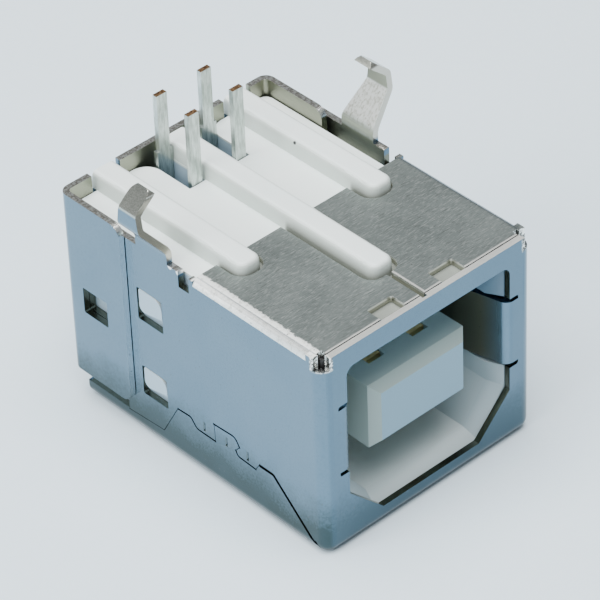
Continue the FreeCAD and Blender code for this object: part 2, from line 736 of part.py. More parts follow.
def bevel_mouth(body, front):
    """Bevelled rim of the cavity, from its front to where the bevel ends."""
    mouth = sketch_on(body, "MouthSketch", FRONT, front)
    cavity_outline("lead_grow")(mouth)
    throat = sketch_on(body, "ThroatSketch", FRONT, "lead_deep")
    cavity_outline("0")(throat)
    rim = body.newObject("PartDesign::SubtractiveLoft", "Rim")
    rim.Profile = mouth
    rim.Sections = [throat]
    rim.Ruled = True
    return checked(body, rim, False)


def tongue_section(sketch):
    rectangle(sketch, "-tongue_half", "tongue_half", "tongue_low", "tongue_low + tongue_thick")


def strip_slots(low, high):
    def draw(sketch):
        for side in SIDES:
            centre = sided(side, "pitch")
            half = "strip_wide / 2 + strip_play"
            rectangle(sketch, f"{centre} - ({half})", f"{centre} + ({half})", low, high)
    return draw


def channels(front, flare):
    """Channels for the contacts' upright legs, open to the rear."""
    def draw(sketch):
        rim, back = "depth - sheet - fit", "depth"
        for side in SIDES:
            inner = sided(side, "pitch - channel_half")
            outer = sided(side, "pitch + channel_half")
            wide = sided(side, "pitch + channel_half + channel_flare + fit")
            corners = [(outer, rim, "channel_flare"), (wide, rim), (wide, back)] if flare else [(outer, back)]
            outline(sketch, [(inner, front), (outer, front)] + corners + [(inner, back)])
    return draw


def rib_foot(centre, half, front, back):
    """Outline of a rib at its foot, round at the front."""
    def draw(sketch):
        outline(sketch, [
            (f"{centre} - {half}", back),
            (f"{centre} - {half}", front, "rib_round"),
            (f"{centre} + {half}", front, "rib_round"),
            (f"{centre} + {half}", back),
        ])
    return draw


def spring_rooms(sketch):
    for side in SIDES:
        inner = sided(side, "tongue_half + sheet")
        outer = sided(side, "spring_room_half")
        low, high = (inner, outer) if side > 0 else (outer, inner)
        rectangle(sketch, low, high, "spring_room_low", "spring_room_high", "0.15")


def shoulders(sketch):
    rectangle(sketch, "shoulder_right", "width / 2", "shoulder_level", "height")
    rectangle(sketch, "-width / 2", "-shoulder_left", "shoulder_level", "height")


def ear_room(sketch):
    """Space for the right ear, which stands inside the side wall."""
    rectangle(sketch, "shoulder_right", "width / 2", "ear_front - notch_ease", "depth")


def catches(sketch):
    """Catches that stand in the windows, each with its lower edge falling away."""
    windows = [
        ("window_front", "window_long", "upper_window", "upper_window_high"),
        ("window_front", "window_long", "lower_window", "lower_window_high"),
    ]
    for front, long, low, high in windows:
        outline(sketch, [
            (f"{front} + fit", f"{low} + bump_drop + bump_lead", "0.05"),
            (f"{front} + {long} - bump_gap", f"{low} + bump_drop", "0.30"),
            (f"{front} + {long} - bump_gap", f"{low} + {high} - fit", "0.10"),
            (f"{front} + fit", f"{low} + {high} - fit", "bump_round"),
        ])


def housing():
    """White moulding with the plug cavity, the tongue, three ribs and the catches."""
    body = new_body("housing")
    half = "(width / 2 - sheet - fit)"
    front, back = "sheet + fit", "depth - sheet - fit"
    low, high = "sheet + fit", "height - sheet - fit"
    between(body, "Pad", "Block", FLAT, low, high, lambda sketch: rectangle(sketch, f"-{half}", half, front, back))
    side_face, front_face, under = value(half), value(front), value(low)

    def outer_edges(box):
        upright = near(box.YMin, front_face) and near(box.YMax, front_face) and near(abs(box.XMin), side_face)
        bottom = near(box.ZMin, under) and near(box.ZMax, under)
        return bottom or (upright and near(box.XMin, box.XMax))

    dress(body, "Fillet", "Edges", "ease", outer_edges)
    between(body, "Pocket", "Shoulders", FRONT, "0", "depth", shoulders)
    between(body, "Pocket", "EarRoom", FLAT, "ear_low - sheet", "height", ear_room)
    corner_x, corner_y = value("shoulder_right"), value(back)

    def rear_corner(box):
        upright = near(box.XMin, corner_x) and near(box.XMax, corner_x)
        return upright and near(box.YMin, corner_y) and near(box.YMax, corner_y)

    dress(body, "Fillet", "RearCorner", "ease", rear_corner)
    foot = rib_foot("rib_shift", "middle_rib_half", "middle_rib_front", back)
    between(body, "Pad", "MiddleRib", FLAT, high, "seat", foot, "-rib_slope")
    for side in SIDES:
        foot = rib_foot(f"rib_shift + {sided(side, 'rib_pitch')}", "rib_half", "rib_front", "depth")
        between(body, "Pad", hand(side) + "Rib", FLAT, high, "seat", foot, "-rib_slope")
    top_level, rib_back = value("seat"), value("depth - bend")

    def rib_tops(box):
        return near(box.ZMin, top_level) and near(box.ZMax, top_level) and box.YMin < rib_back

    dress(body, "Fillet", "RibEdges", "rib_ease", rib_tops)
    between(body, "Pocket", "Cavity", FRONT, "0", "cavity_deep", cavity_outline("0"))
    between(body, "Pocket", "SpringRooms", FRONT, "0", "spring_room_deep", spring_rooms)
    bevel_mouth(body, front)
    between(body, "Pad", "Tongue", FRONT, "tongue_front", "cavity_deep", tongue_section)
    nose = value("tongue_front")

    def nose_edges(box):
        return near(box.YMin, nose) and near(box.YMax, nose)

    dress(body, "Chamfer", "Nose", "tongue_nose", nose_edges)
    top = "tongue_low + tongue_thick"
    deep = "strip_thick + strip_sink + strip_play"
    leg = "depth - row_inset - strip_thick / 2 - strip_play"
    between(body, "Pocket", "UpperSlots", FRONT, "strip_slot_front", "depth - row_inset",
            strip_slots(f"{top} - ({deep})", f"{top} + fit"))
    between(body, "Pocket", "LowerSlots", FRONT, "strip_slot_front", "depth - row_inset + row_pitch",
            strip_slots("tongue_low - fit", f"tongue_low + {deep}"))
    between(body, "Pocket", "FrontChannels", FLAT, f"{top} - ({deep})", "seat + sheet", channels(leg, True))
    between(body, "Pocket", "RearChannels", FLAT, "tongue_low - fit", "height", channels(leg + " + row_pitch", False))
    wall = "width / 2 - sheet - fit * 2"
    between(body, "Pad", "RightCatches", SIDE, wall, "width / 2", catches)
    between(body, "Pad", "LeftCatches", SIDE, "-width / 2", f"-({wall})", catches)
    return body


def contact(name, side, face, row, shoulder):
    """Gold strip along the tongue, bent up into a tail."""
    body = new_body(name)
    centre = sided(side, "pitch")

    def section(sketch):
        strip(sketch, [
            ("strip_front", face),
            (f"{row} + strip_thick / 2", face, "strip_bend"),
            (f"{row} + strip_thick / 2", "tail_top"),
        ], "strip_thick", 1)

    half = "strip_wide / 2"
    between(body, "Pad", "Strip", SIDE, f"{centre} - {half}", f"{centre} + {half}", section)

    def cheeks(sketch):
        for cheek in SIDES:
            inner = f"{centre} + {cheek} * tail_wide / 2"
            outer = f"{centre} + {cheek} * strip_wide"
            low, high = (inner, outer) if cheek > 0 else (outer, inner)
            rectangle(sketch, low, high, shoulder, "tail_top + sheet")

    between(body, "Pocket", "Tail", FRONT, f"{row} - sheet", f"{row} + sheet", cheeks)
    return body


def contacts():
    top = "tongue_low + tongue_thick - strip_sink - strip_thick"
    low = "tongue_low + strip_sink"
    front, rear = "(depth - row_inset)", "(depth - row_inset + row_pitch)"
    made = []
    for side in SIDES:
        name = hand(side).lower()
        made.append(contact(f"contact_front_{name}", side, top, front, "front_shoulder"))
        made.append(contact(f"contact_rear_{name}", side, low, rear, "rear_shoulder"))
    return made


pieces = [shield(), housing()] + contacts()
document.recompute()

for item in document.Objects:
    if "Invalid" in item.State or "Error" in item.State:
        raise RuntimeError(f"{item.Name} is {item.State}")
for piece in pieces:
    if piece.Shape.isNull() or not piece.Shape.isValid() or len(piece.Shape.Solids) != 1:
        raise RuntimeError(f"{piece.Label} is not one valid solid")

os.makedirs("parts", exist_ok=True)
for piece in pieces:
    piece.Shape.exportStep(f"parts/{piece.Label}.step")
    print(piece.Label, round(piece.Shape.Volume, 2), "mm3")
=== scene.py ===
import math
from types import SimpleNamespace

import bmesh
import bpy
from bpy.props import FloatProperty, FloatVectorProperty, PointerProperty
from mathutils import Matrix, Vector


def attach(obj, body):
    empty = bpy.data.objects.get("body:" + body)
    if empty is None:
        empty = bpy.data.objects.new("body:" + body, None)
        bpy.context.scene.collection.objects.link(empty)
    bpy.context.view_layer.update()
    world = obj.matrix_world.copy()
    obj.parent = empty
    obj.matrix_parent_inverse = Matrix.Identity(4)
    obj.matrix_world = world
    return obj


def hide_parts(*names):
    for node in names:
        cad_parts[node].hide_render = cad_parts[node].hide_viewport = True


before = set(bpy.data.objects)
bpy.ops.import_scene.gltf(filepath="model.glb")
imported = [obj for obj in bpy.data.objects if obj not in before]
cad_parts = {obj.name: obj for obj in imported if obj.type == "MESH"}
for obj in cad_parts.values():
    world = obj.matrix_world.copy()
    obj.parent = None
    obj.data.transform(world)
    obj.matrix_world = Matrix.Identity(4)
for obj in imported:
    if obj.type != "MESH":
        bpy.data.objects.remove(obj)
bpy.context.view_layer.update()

bl_info = {
    "name": "Type-B socket",
    "version": (1, 0, 0),
    "blender": (4, 5, 0),
    "location": "View3D > Sidebar > Socket",
    "description": "Folded shield, moulded housing and contacts of a type-B socket, on a pale floor",
    "category": "Object",
}

MM = 0.001

# Camera and stage.
CAMERA_AT = Vector((-0.0864522, -0.0976715, 0.1102361))
CAMERA_TURN = (0.8957054, 0.0325365, -0.7504711)
LENS = 236.75
SENSOR = 36.0
CLIP = (0.01, 5.0)
FLOOR_REACH = 0.6
FLOOR_SHADE = (0.74, 0.88, 0.97)
FLOOR_LIGHT = (0.78, 0.91, 0.99)
SKY_TINT = (0.62, 0.66, 0.70)
OVERHEAD_AT = (-0.05, -0.02, 0.35)
OVERHEAD_SIZE = 0.35
WINDOW_AT = (-0.35, 0.05, 0.20)
WINDOW_SIZE = 0.25
WINDOW_TINT = (0.97, 0.99, 1.0)

# Mesh work.
MERGE = 2e-6
THINNEST = 1e-6
FLAT_TURN = math.radians(0.3)
SHARP_TURN = math.radians(30)
BEVEL_STEPS = 2

# Places that the finishes follow, in millimetres. Heights are above the roof's outside, depths
# are behind the front plate's face, and sides are from the middle.
HALF_DEPTH = 7.85
SHEET = 0.3
FLAP_LEVEL = 10.5
FLAP_END = 7.8
BEND_REACH = 0.85
BURR_REACH = 0.35
LIT_BAND_SIDE = -5.22
SEAM_HIGHLIGHT_SIDES = (0.07, 0.17)
SEAM_END = 2.3
WALL_TOP = 10.4
WALL_INSIDE = 5.65
CUT_LOW = 0.7
CUT_DEPTHS = (0.65, 15.0)
INSIDE_FRONT = 0.8
INSIDE_LIT = 10.2
FOOT_WAVER = 2.5
LOCK_FOOT = 10.6
LOCK_FRONT = 9.1
LOCK_BACK = 11.3
LOCK_LEAN = 13.1
SPRING_LOW = 4.15
SPRING_HIGH = 7.55
MOUTH_SIDE = 5.3
MOUTH_TOP = 9.7
EAR_FRONT = 11.88
EAR_OUTSIDE = 6.03
EAR_INSIDE = 5.15
COVER_INSIDE = 15.4
RELIEF_SIDE = 5.38
RELIEF_DEPTH = 0.66
RELIEF_FLOOR = 9.80
NIB_GLINT_SPOTS = ((9.05, 10.39), (8.55, 10.35), (8.24, 9.77))
NIB_GLINT_RADIUS = 0.12
NIB_GLINT_SIDE = -5.6
RIB_FOOT = 10.2
CAVITY_END = 9.2
CAVITY_TOP = 8.9
TONGUE_SIDE = 3.4
TONGUE_FOOT = 3.2
SPRING_SIDE = 4.1
RECESS_TOP = 9.8
COVERED_END = 7.7
CORNER_SIDE = 5.2
CORNER_DEPTH = 1.0
CORNER_FLOOR = 9.0
SPECK = (2.97, 11.19, 10.87)
SPECK_RADIUS = 0.09
ROUND_BLUR = 0.004
GOLD_TOP = 8.0

# How far along an axis the faces of a kind point, from -1 to 1.
LEVEL_FACE = 0.96
BENT_FACE = (0.12, 0.95)
SLANTED_FACE = (0.3, 0.9)
UPRIGHT_FACE = 0.75

# Patterns drawn out across the socket, or up along its locks and tails.
BRUSHED = (6, 1, 1)
THREADED = (12, 1, 1)
UPWARD = (1, 1, 6)

# Roughness of each finish where its pattern is at its lowest, or what a place adds to it.
WALL_ROUGH = 0.20
FLAP_ROUGH = 0.16
INSIDE_ROUGH = 0.15
BEND_ROUGH = 0.32
PLASTIC_ROUGH = 0.36
METAL_ROUGH = 0.22
PAPER_ROUGH = 0.7

# Colours of the shield.
WALL_LIGHT = (0.155, 0.225, 0.285)
WALL_GRIT = (0.085, 0.15, 0.20)
WALL_FOOT_REFLECTED_SHADE = (0.030, 0.045, 0.038)
FRONT_PLATE_SHADE = (0.080, 0.135, 0.185)
FLAP_LIGHT = (0.33, 0.37, 0.355)
FLAP_FLECK = (0.50, 0.53, 0.51)
FLAP_THREAD = (0.11, 0.12, 0.11)
CUT_FACE = (0.16, 0.165, 0.13)
EAR_END = (0.30, 0.31, 0.24)
LIT_BEND_GREY = (0.66, 0.67, 0.63)
LIT_BEND_HIGHLIGHT = (0.93, 0.95, 0.93)
SHADED_BEND_DARK = (0.12, 0.14, 0.14)
SHADED_BEND_LIGHT = (0.30, 0.33, 0.34)
INSIDE_SHADED = (0.22, 0.22, 0.17)
INSIDE_LIT_TONE = (0.34, 0.345, 0.27)
LOCK_STREAK = (0.52, 0.53, 0.45)
LOCK_BRIGHT = (0.86, 0.88, 0.84)
LOCK_STEEP_SHADE = (0.40, 0.415, 0.35)
LOCK_EDGE = (0.50, 0.47, 0.41)
TIP_DARK = (0.34, 0.35, 0.30)
TIP_LIGHT = (0.68, 0.69, 0.61)
FRONT_TOP_DARK = (0.34, 0.31, 0.25)
FRONT_TOP_LIGHT = (0.96, 0.94, 0.87)
BURR_SHADE = (0.40, 0.40, 0.34)
BURR_HIGHLIGHT = (0.95, 0.96, 0.94)
LIP_HIGHLIGHT = (0.90, 0.90, 0.85)
SHEAR_DARK = (0.42, 0.39, 0.34)
SHEAR_LIGHT = (0.76, 0.76, 0.70)
RIM_HIGHLIGHT = (0.96, 0.96, 0.92)
RELIEF_DARK = (0.10, 0.10, 0.09)
NIB_GLINT = (0.97, 0.97, 0.95)
PIT = (0.12, 0.13, 0.13)

# Colours of the housing.
BODY_LIGHT = (0.90, 0.95, 0.93)
RIB_SIDE_SHADE = (0.58, 0.64, 0.60)
LINING_SIDE_SHADE = (0.34, 0.42, 0.45)
OVER_SPRING_SHADE = (0.13, 0.21, 0.28)
TONGUE_BEVEL_SHADE = (0.33, 0.41, 0.39)
UNDER_FLAP_SHADE = (0.24, 0.26, 0.23)
UNDER_CORNER_SHADE = (0.02, 0.02, 0.02)
SPECK_DARK = (0.03, 0.03, 0.03)

# Colours of the contacts.
TAIL_DARK = (0.36, 0.40, 0.37)
TAIL_LIGHT = (0.62, 0.67, 0.64)
GOLD = (0.90, 0.66, 0.30)
COPPER_DARK = (0.20, 0.11, 0.06)
COPPER_LIGHT = (0.62, 0.36, 0.18)


class Nodes:
    """Builds one material's node tree."""

    def __init__(self, name):
        self.material = bpy.data.materials.new(name)
        self.material.use_nodes = True
        self.tree = self.material.node_tree
        self.tree.nodes.clear()
        self.place = Value(self, self.add("ShaderNodeTexCoord").outputs["Object"])

    def add(self, kind, settings=None, **inputs):
        """A node of that kind, with its settings first and then its sockets, a link or a number each."""
        node = self.tree.nodes.new(kind)
        for key, value in (settings or {}).items():
            setattr(node, key, value)
        for key, value in inputs.items():
            by_number = key[0] == "i" and key[1:].isdigit()
            socket = node.inputs[int(key[1:])] if by_number else node.inputs[key.replace("_", " ")]
            if isinstance(value, Value):
                self.tree.links.new(value.socket, socket)
            else:
                socket.default_value = value
        return node

    def maths(self, operation, *values, clamp=False):
        node = self.add("ShaderNodeMath", {"operation": operation, "use_clamp": clamp},
                        **{f"i{i}": value for i, value in enumerate(values)})
        return Value(self, node.outputs[0])

    def where(self):
        """A point's side, depth and height in millimetres, and how far its face points along X, Y and Z."""
        place = self.add("ShaderNodeSeparateXYZ", Vector=self.place)
        x, y, z = [Value(self, place.outputs[i]) / MM for i in range(3)]
        normal = Value(self, self.add("ShaderNodeNewGeometry").outputs["True Normal"])
        facing = self.add("ShaderNodeSeparateXYZ", Vector=normal)
        nx, ny, nz = [Value(self, facing.outputs[i]) for i in range(3)]
        return SimpleNamespace(x=x, depth=y + HALF_DEPTH, z=z, nx=nx, ny=ny, nz=nz)

    def mapped(self, scale, stretch, seed):
        """The place on the piece, scaled and moved to where a pattern is read."""
        node = self.add("ShaderNodeMapping", Vector=self.place, Location=(seed, seed * 0.7, seed * 0.3),
                        Scale=tuple(scale / MM / s for s in stretch))
        return Value(self, node.outputs[0])

    def noise(self, scale, detail=3.0, rough=0.5, stretch=(1, 1, 1), seed=0.0):
        """Noise whose grain is 1 / scale millimetres, drawn out along an axis by stretch."""
        place = self.mapped(scale, stretch, seed)
        node = self.add("ShaderNodeTexNoise", {"noise_dimensions": "3D"}, Vector=place, Scale=1.0,
                        Detail=detail, Roughness=rough)
        return Value(self, node.outputs["Fac"])

    def spots(self, scale, seed):
        """Distance to the nearest of points strewn 1 / scale millimetres apart."""
        node = self.add("ShaderNodeTexVoronoi", Vector=self.mapped(scale, (1, 1, 1), seed), Scale=1.0)
        return Value(self, node.outputs["Distance"])

    def mix(self, factor, one, other):
        """Colour one where factor is 0, and the other where it is 1."""
        one, other = [tone if isinstance(tone, Value) else (*tone, 1.0) for tone in (one, other)]
        node = self.add("ShaderNodeMix", {"data_type": "RGBA"}, i0=factor, i6=one, i7=other)
        return Value(self, node.outputs[2])

    def paint(self, base, coats):
        """Lays each coat's colour over the last where its mask is 1."""
        for mask, tone in coats:
            base = self.mix(mask, base, tone)
        return base

    def bump(self, height, distance, strength):
        node = self.add("ShaderNodeBump", Height=height, Distance=distance * MM, Strength=strength)
        return Value(self, node.outputs[0])

    def surface(self, fixed=None, **varying):
        shader = self.add("ShaderNodeBsdfPrincipled", **varying)
        for key, value in (fixed or {}).items():
            shader.inputs[key].default_value = value
        output = self.add("ShaderNodeOutputMaterial")
        self.tree.links.new(shader.outputs[0], output.inputs[0])
        return self.material


class Value:
    """A socket that can be used in expressions."""

    def __init__(self, nodes, socket):
        self.nodes = nodes
        self.socket = socket

    def __add__(self, other):
        return self.nodes.maths("ADD", self, other)

    __radd__ = __add__

    def __sub__(self, other):
        return self.nodes.maths("SUBTRACT", self, other)

    def __rsub__(self, other):
        return self.nodes.maths("SUBTRACT", other, self)

    def __mul__(self, other):
        return self.nodes.maths("MULTIPLY", self, other)

    __rmul__ = __mul__

    def __truediv__(self, other):
        return self.nodes.maths("DIVIDE", self, other)

    def __rtruediv__(self, other):
        return self.nodes.maths("DIVIDE", other, self)

    def __or__(self, other):
        """1 where either mask is."""
        return self.nodes.maths("MAXIMUM", self, other)

    __ror__ = __or__

    def __abs__(self):
        return self.nodes.maths("ABSOLUTE", self)

    def above(self, edge, blur):
        """0 below edge - blur and 1 above edge + blur."""
        return self.nodes.maths("MULTIPLY", self - (edge - blur), 1 / (2 * blur), clamp=True)

    def below(self, edge, blur):
        """1 below edge - blur and 0 above edge + blur."""
        return 1 - self.above(edge, blur)

    def between(self, low, high, blur):
        """1 from low to high, with both ends blurred."""
        return self.above(low, blur) * self.below(high, blur)


def within(radius, *pairs):
    """1 where the coordinates are nearer than radius to their centre, given as pairs of the two."""
    away = None
    for value, centre in pairs:
        square = (value - centre) * (value - centre)
        away = square if away is None else away + square
    return away.below(radius * radius, ROUND_BLUR)


def tin_grain(nodes):
    """The shield's noises: brush marks, clouds, grit, ragged borders, streaks along the locks, and pits."""
    return SimpleNamespace(
        flecks=nodes.noise(20.0, 2.0, 0.6, BRUSHED, seed=7.7),
        threads=nodes.noise(22.0, 2.0, 0.7, THREADED, seed=3.1),
        clouds=nodes.noise(0.45, 3.0, 0.5, seed=1.3),
        grit=nodes.noise(8.0, 4.0, 0.65, seed=9.2),
        ragged=nodes.noise(4.5, 4.0, 0.7, seed=2.4),
        streaks=nodes.noise(9.0, 3.0, 0.6, UPWARD, seed=5.5),
        pits=nodes.spots(1.6, seed=6.1),
    )


def flap_masks(at, grain):
    """Masks of the two flaps, of their bend towards the light, which gets a painted highlight, and of the
    one away from it, which gets painted shade, and of the edges round them, some with painted highlights.
    """
    side = abs(at.x)
    before = at.depth.below(FLAP_END, 0.03)
    flat = at.nz.above(LEVEL_FACE, 0.02) * at.z.above(FLAP_LEVEL - 0.15, 0.05) * before
    bend = at.z.above(FLAP_LEVEL - BEND_REACH, 0.15) * before * at.nz.between(*BENT_FACE, 0.04)
    lit_band = flat * (at.x + grain.ragged * 0.5).below(LIT_BAND_SIDE, 0.03)
    burr = at.z.above(FLAP_LEVEL - BURR_REACH, 0.05) * side.below(WALL_INSIDE, 0.05) * at.nz.below(0.5, 0.2)
    burr_lit_side = at.nx.below(-0.3, 0.2) | at.ny.below(-0.5, 0.2)
    front_top = at.nz.above(0.6, 0.2) * at.z.above(FLAP_LEVEL - 0.3, 0.05)
    seam_highlight = flat * at.x.between(*SEAM_HIGHLIGHT_SIDES, 0.02) * at.depth.below(SEAM_END, 0.05)
    return SimpleNamespace(
        before=before,
        flat=flat,
        lit_bend=(bend * at.nx.below(-0.1, 0.1)) | lit_band,
        shaded_bend=bend * at.nx.above(0.1, 0.1),
        burr=burr * before * at.depth.above(SHEET + 0.01, 0.01),
        burr_lit_side=burr_lit_side * at.z.above(FLAP_LEVEL - 0.10, 0.03),
        front_top=front_top * at.depth.below(SHEET + 0.02, 0.02),
        lip_highlights=(flat * at.depth.below(SHEET + 0.12, 0.02)) | seam_highlight,
    )


def lock_masks(at):
    """Masks of the two board locks, and of every face that looks towards the middle."""
    lock = at.z.above(LOCK_FOOT, 0.1) * abs(at.x).above(WALL_INSIDE, 0.05)
    lock = lock * at.depth.between(LOCK_FRONT, LOCK_BACK, 0.05)
    hollow = (at.x * at.nx).below(-1.5, 0.5)
    return SimpleNamespace(
        lock=lock,
        hollow=hollow,
        inside=lock * hollow,
        tip=lock * at.z.above(LOCK_LEAN, 0.2) * at.nz.above(0.2, 0.1),
        edge=lock * at.ny.below(-0.8, 0.1),
    )


def edge_masks(at, flaps, locks):
    """Masks of the cut faces, of the slanted edges that get a painted highlight, the relief holes and the
    painted glints on the burr, and of the sheet's inside, which gets painted shade.
    """
    side = abs(at.x)
    behind = 1 - flaps.before
    off_lock = 1 - locks.lock
    toward = at.nx.below(-0.25, 0.1) | at.ny.below(-0.25, 0.1)
    slanted = at.nz.between(*SLANTED_FACE, 0.05) * toward
    across = side.above(WALL_INSIDE, 0.02) * abs(at.nx).below(0.5, 0.1) * at.depth.between(*CUT_DEPTHS, 0.02)
    mouth = at.depth.below(SHEET + 0.02, 0.02) * abs(at.ny).below(0.5, 0.1) * side.below(MOUTH_SIDE, 0.05)
    off_spring = 1 - at.z.between(SPRING_LOW, SPRING_HIGH, 0.03)
    ear_end = at.depth.between(EAR_FRONT - 0.2, EAR_FRONT + 0.1, 0.02) * side.above(EAR_OUTSIDE, 0.01)
    inner_ear = at.x.between(EAR_INSIDE, WALL_INSIDE + 0.1, 0.05)
    inner_ear = inner_ear * at.depth.between(EAR_FRONT - 0.5, EAR_FRONT + 0.2, 0.05)
    inward = locks.hollow * off_lock * at.depth.above(INSIDE_FRONT, 0.5)
    relief = side.above(RELIEF_SIDE, 0.05) * at.depth.below(RELIEF_DEPTH, 0.05)
    top_rim_highlight = slanted * at.z.above(FLAP_LEVEL - 0.08, 0.02) * side.below(MOUTH_SIDE, 0.05)
    wall_rim_highlight = at.z.above(WALL_TOP - 0.7, 0.1) * slanted * behind * off_lock
    outside = at.x.below(NIB_GLINT_SIDE, 0.05)
    return SimpleNamespace(
        inside=inward | (at.depth.above(COVER_INSIDE - 0.1, 0.05) * at.ny.below(-0.4, 0.2)),
        cut=(across * at.z.between(CUT_LOW, FLAP_LEVEL - 0.4, 0.05))
            | (mouth * at.z.between(CUT_LOW, MOUTH_TOP, 0.05) * off_spring),
        ear_end=ear_end * at.ny.below(-0.5, 0.2),
        inner_end=inner_ear * at.ny.below(-0.2, 0.1) * at.z.above(CUT_LOW, 0.1),
        shear=at.nz.above(0.75, 0.1) * at.z.above(WALL_TOP - 0.15, 0.05) * behind * off_lock,
        rim_highlights=top_rim_highlight | wall_rim_highlight,
        relief=relief * at.z.above(RELIEF_FLOOR, 0.06) * (1 - flaps.flat),
        nib_glints=[within(NIB_GLINT_RADIUS, (at.depth, depth), (at.z, height)) * outside for depth, height in NIB_GLINT_SPOTS],
    )


def tin_plate(settings):
    """Tin plate: dark and finely brushed on the flaps, smooth on the walls, which are blue partly from a
    painted reflection of the floor, olive inside with painted shade, and painted highlights and shade on its
    bends and edges.
    """
    nodes = Nodes("tin_plate")
    at = nodes.where()
    grain = tin_grain(nodes)
    clouds, grit, flecks, threads = grain.clouds, grain.grit, grain.flecks, grain.threads
    flaps = flap_masks(at, grain)
    locks = lock_masks(at)
    edges = edge_masks(at, flaps, locks)

    # Painted reflection of shade: the walls darken towards the bottom, standing in for the floor's shadow
    # seen in the metal.
    foot = (at.z + (clouds + grit - 1) * FOOT_WAVER).below(settings.reflected_shade_top / MM, 1.0)
    foot = foot * (1 - at.nz.above(0.5, 0.2))
    # The walls' blue is partly a painted reflection of the floor, partly the tin's own tone.
    wall = nodes.paint(nodes.mix(clouds, settings.wall, WALL_LIGHT), (
        (grit.above(0.60, 0.10) * 0.35, WALL_GRIT),
        (foot * (0.65 + clouds * 0.35), WALL_FOOT_REFLECTED_SHADE),
        # Painted shade: faces that look to the front are darker.
        (at.ny.below(-0.9, 0.05) * 0.45, FRONT_PLATE_SHADE),
    ))
    flap = nodes.paint(nodes.mix(clouds, settings.flap, FLAP_LIGHT), (
        (flecks.above(0.60, 0.08) * 0.55, FLAP_FLECK),
        (threads.below(0.38, 0.05) * 0.6, FLAP_THREAD),
    ))
    base = nodes.paint(nodes.mix(flaps.flat, wall, flap), (
        (edges.cut, CUT_FACE),
        # Painted light on the ears' front edge, lifting the shade that face would get.
        (edges.ear_end, settings.lit_ear_edge),
        (edges.inner_end, EAR_END),
        # Painted highlight on the bend that faces the light and the flat strip beside it; painted shade on
        # the bend that faces away.
        (flaps.lit_bend, nodes.mix(grain.ragged.above(0.40, 0.08), LIT_BEND_GREY, LIT_BEND_HIGHLIGHT)),
        (flaps.shaded_bend, nodes.mix(grit, SHADED_BEND_DARK, SHADED_BEND_LIGHT)),
        # Painted shade on faces that look inwards: darker low down, lighter high up.
        (edges.inside, nodes.mix(at.z.above(INSIDE_LIT, 0.9), INSIDE_SHADED, INSIDE_LIT_TONE)),
        (locks.inside, nodes.mix(grain.streaks.above(0.44, 0.10), LOCK_STREAK, LOCK_BRIGHT)),
        # Painted shade on the steep inner faces of the locks.
        (locks.inside * at.nz.below(0.3, 0.15), LOCK_STEEP_SHADE),
        (locks.tip, nodes.mix(threads.above(0.45, 0.25), TIP_DARK, TIP_LIGHT)),
        (locks.edge, LOCK_EDGE),
        (flaps.front_top, nodes.mix(grit.above(0.45, 0.08), FRONT_TOP_DARK, FRONT_TOP_LIGHT)),
        # Painted highlight and shade on the cut faces round the slots: bright where they face the light.
        (flaps.burr, nodes.mix(flaps.burr_lit_side, BURR_SHADE, BURR_HIGHLIGHT)),
        # Painted highlights along the flaps' front edge and beside the seam.
        (flaps.lip_highlights, LIP_HIGHLIGHT),
        (edges.shear, nodes.mix(grit.above(0.5, 0.08), SHEAR_DARK, SHEAR_LIGHT)),
        # Painted highlights on slanted edges that face the light.
        (edges.rim_highlights, RIM_HIGHLIGHT),
        (edges.relief, nodes.mix(grit.above(0.50, 0.05), RELIEF_DARK, RIM_HIGHLIGHT)),
        # Painted glints: small bright dots on the burr outside the left wall.
        *((glint, NIB_GLINT) for glint in edges.nib_glints),
        (grain.pits.below(0.05, 0.02) * 0.7, PIT),
    ))
    rough = WALL_ROUGH + clouds * 0.08 + flaps.flat * (FLAP_ROUGH + flecks * 0.1)
    rough = rough + edges.inside * INSIDE_ROUGH + flaps.lit_bend * BEND_ROUGH
    rough = rough + locks.inside * INSIDE_ROUGH
    brushed = (flecks + threads * 0.5) * flaps.flat
    height = brushed + grit * (0.10 + flaps.lit_bend * 1.2 + edges.shear) + clouds * 0.5
    normal = nodes.bump(height, settings.grain / MM, 0.8)
    return nodes.surface({"Metallic": 1.0}, Base_Color=base, Roughness=rough, Normal=normal)


